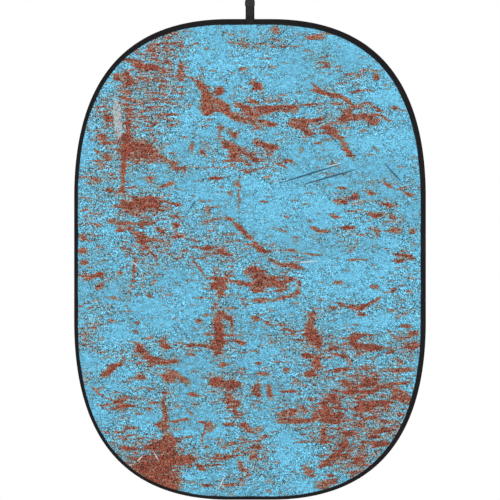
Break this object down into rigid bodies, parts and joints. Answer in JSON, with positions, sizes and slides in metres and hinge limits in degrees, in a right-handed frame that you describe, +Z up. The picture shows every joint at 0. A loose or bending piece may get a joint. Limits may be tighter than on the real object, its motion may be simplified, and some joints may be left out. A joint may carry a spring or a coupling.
{
  "type": "collapsible backdrop panel",
  "caption": "Oval pop-up backdrop: printed cloth and plain cloth stretched in a folding spring steel hoop with taped binding, hung by a webbing strap with a slider.",
  "frame": {"origin": "where a hook bears inside the top of the hanging strap's loop", "axes": "+Z up, +X to the right seen from the printed side, the printed side faces -Y"},
  "size_m": [1.5, 0.0272, 2.2316],
  "materials": {
    "printed_cloth": "matt polyester printed as weathered blue paint over rust",
    "plain_cloth": "matt plain polyester",
    "binding_tape": "black ribbed tape",
    "strap_webbing": "black woven webbing",
    "slider_plastic": "moulded, fine texture",
    "spring_steel": "blued, bare",
    "zinc_fittings": "zinc plated"
  },
  "bodies": {
    "strap": {"strap_loop": "strap_webbing"},
    "slider": {"strap_slider": "slider_plastic"},
    "panel_top": {"strap_tab_front": "strap_webbing", "strap_tab_back": "strap_webbing", "front_cloth_top": "printed_cloth", "back_cloth_top": "plain_cloth", "binding_top": "binding_tape", "hoop_top": "spring_steel"},
    "band_1": {"front_cloth_band_1": "printed_cloth", "back_cloth_band_1": "plain_cloth", "binding_left_1": "binding_tape", "hoop_left_1": "spring_steel", "binding_right_1": "binding_tape", "hoop_right_1": "spring_steel"},
    "band_2": {"front_cloth_band_2": "printed_cloth", "back_cloth_band_2": "plain_cloth", "binding_left_2": "binding_tape", "hoop_left_2": "spring_steel", "binding_right_2": "binding_tape", "hoop_right_2": "spring_steel"},
    "band_3": {"front_cloth_band_3": "printed_cloth", "back_cloth_band_3": "plain_cloth", "binding_left_3": "binding_tape", "hoop_left_3": "spring_steel", "binding_right_3": "binding_tape", "hoop_right_3": "spring_steel"},
    "band_4": {"front_cloth_band_4": "printed_cloth", "back_cloth_band_4": "plain_cloth", "binding_left_4": "binding_tape", "hoop_left_4": "spring_steel", "binding_right_4": "binding_tape", "hoop_right_4": "spring_steel"},
    "band_5": {"front_cloth_band_5": "printed_cloth", "back_cloth_band_5": "plain_cloth", "binding_left_5": "binding_tape", "hoop_left_5": "spring_steel", "binding_right_5": "binding_tape", "hoop_right_5": "spring_steel"},
    "band_6": {"front_cloth_band_6": "printed_cloth", "back_cloth_band_6": "plain_cloth", "binding_left_6": "binding_tape", "hoop_left_6": "spring_steel", "binding_right_6": "binding_tape", "hoop_right_6": "spring_steel"},
    "band_7": {"front_cloth_band_7": "printed_cloth", "back_cloth_band_7": "plain_cloth", "binding_left_7": "binding_tape", "hoop_left_7": "spring_steel", "binding_right_7": "binding_tape", "hoop_right_7": "spring_steel"},
    "panel_bottom": {"front_cloth_bottom": "printed_cloth", "back_cloth_bottom": "plain_cloth", "binding_bottom": "binding_tape", "hoop_bottom_left": "spring_steel", "hoop_bottom_right": "spring_steel", "hoop_ferrule": "zinc_fittings", "ferrule_rivet_left": "zinc_fittings", "ferrule_rivet_right": "zinc_fittings"}
  },
  "joints": [
    {"name": "slider_slide", "type": "slide", "parent": "strap", "child": "slider", "axis": [0, 0, 1], "range_m": [-0.022, 0.045]},
    {"name": "strap_flex", "type": "hinge", "parent": "strap", "child": "panel_top", "pos_m": [0, 0, -0.18], "axis": [1, 0, 0], "range_deg": [-90, 90]},
    {"name": "fold", "type": "hinge", "parent": "panel_top", "child": "band_1", "pos_m": [0, 0, -0.925], "axis": [1, 0, 0], "range_deg": [-22.5, 22.5], "stiffness_Nm_per_rad": 7.5},
    {"name": "fold_2", "type": "hinge", "parent": "band_1", "child": "band_2", "pos_m": [0, 0, -1.005], "axis": [1, 0, 0], "range_deg": [-22.5, 22.5], "stiffness_Nm_per_rad": 7.5},
    {"name": "fold_3", "type": "hinge", "parent": "band_2", "child": "band_3", "pos_m": [0, 0, -1.085], "axis": [1, 0, 0], "range_deg": [-22.5, 22.5], "stiffness_Nm_per_rad": 7.5},
    {"name": "fold_4", "type": "hinge", "parent": "band_3", "child": "band_4", "pos_m": [0, 0, -1.165], "axis": [1, 0, 0], "range_deg": [-22.5, 22.5], "stiffness_Nm_per_rad": 7.5},
    {"name": "fold_5", "type": "hinge", "parent": "band_4", "child": "band_5", "pos_m": [0, 0, -1.245], "axis": [1, 0, 0], "range_deg": [-22.5, 22.5], "stiffness_Nm_per_rad": 7.5},
    {"name": "fold_6", "type": "hinge", "parent": "band_5", "child": "band_6", "pos_m": [0, 0, -1.325], "axis": [1, 0, 0], "range_deg": [-22.5, 22.5], "stiffness_Nm_per_rad": 7.5},
    {"name": "fold_7", "type": "hinge", "parent": "band_6", "child": "band_7", "pos_m": [0, 0, -1.405], "axis": [1, 0, 0], "range_deg": [-22.5, 22.5], "stiffness_Nm_per_rad": 7.5},
    {"name": "fold_8", "type": "hinge", "parent": "band_7", "child": "panel_bottom", "pos_m": [0, 0, -1.485], "axis": [1, 0, 0], "range_deg": [-22.5, 22.5], "stiffness_Nm_per_rad": 7.5}
  ],
  "couplings": [
    {"joint": "fold_2", "follows": "fold", "ratio": 1},
    {"joint": "fold_3", "follows": "fold", "ratio": 1},
    {"joint": "fold_4", "follows": "fold", "ratio": 1},
    {"joint": "fold_5", "follows": "fold", "ratio": 1},
    {"joint": "fold_6", "follows": "fold", "ratio": 1},
    {"joint": "fold_7", "follows": "fold", "ratio": 1},
    {"joint": "fold_8", "follows": "fold", "ratio": 1}
  ]
}
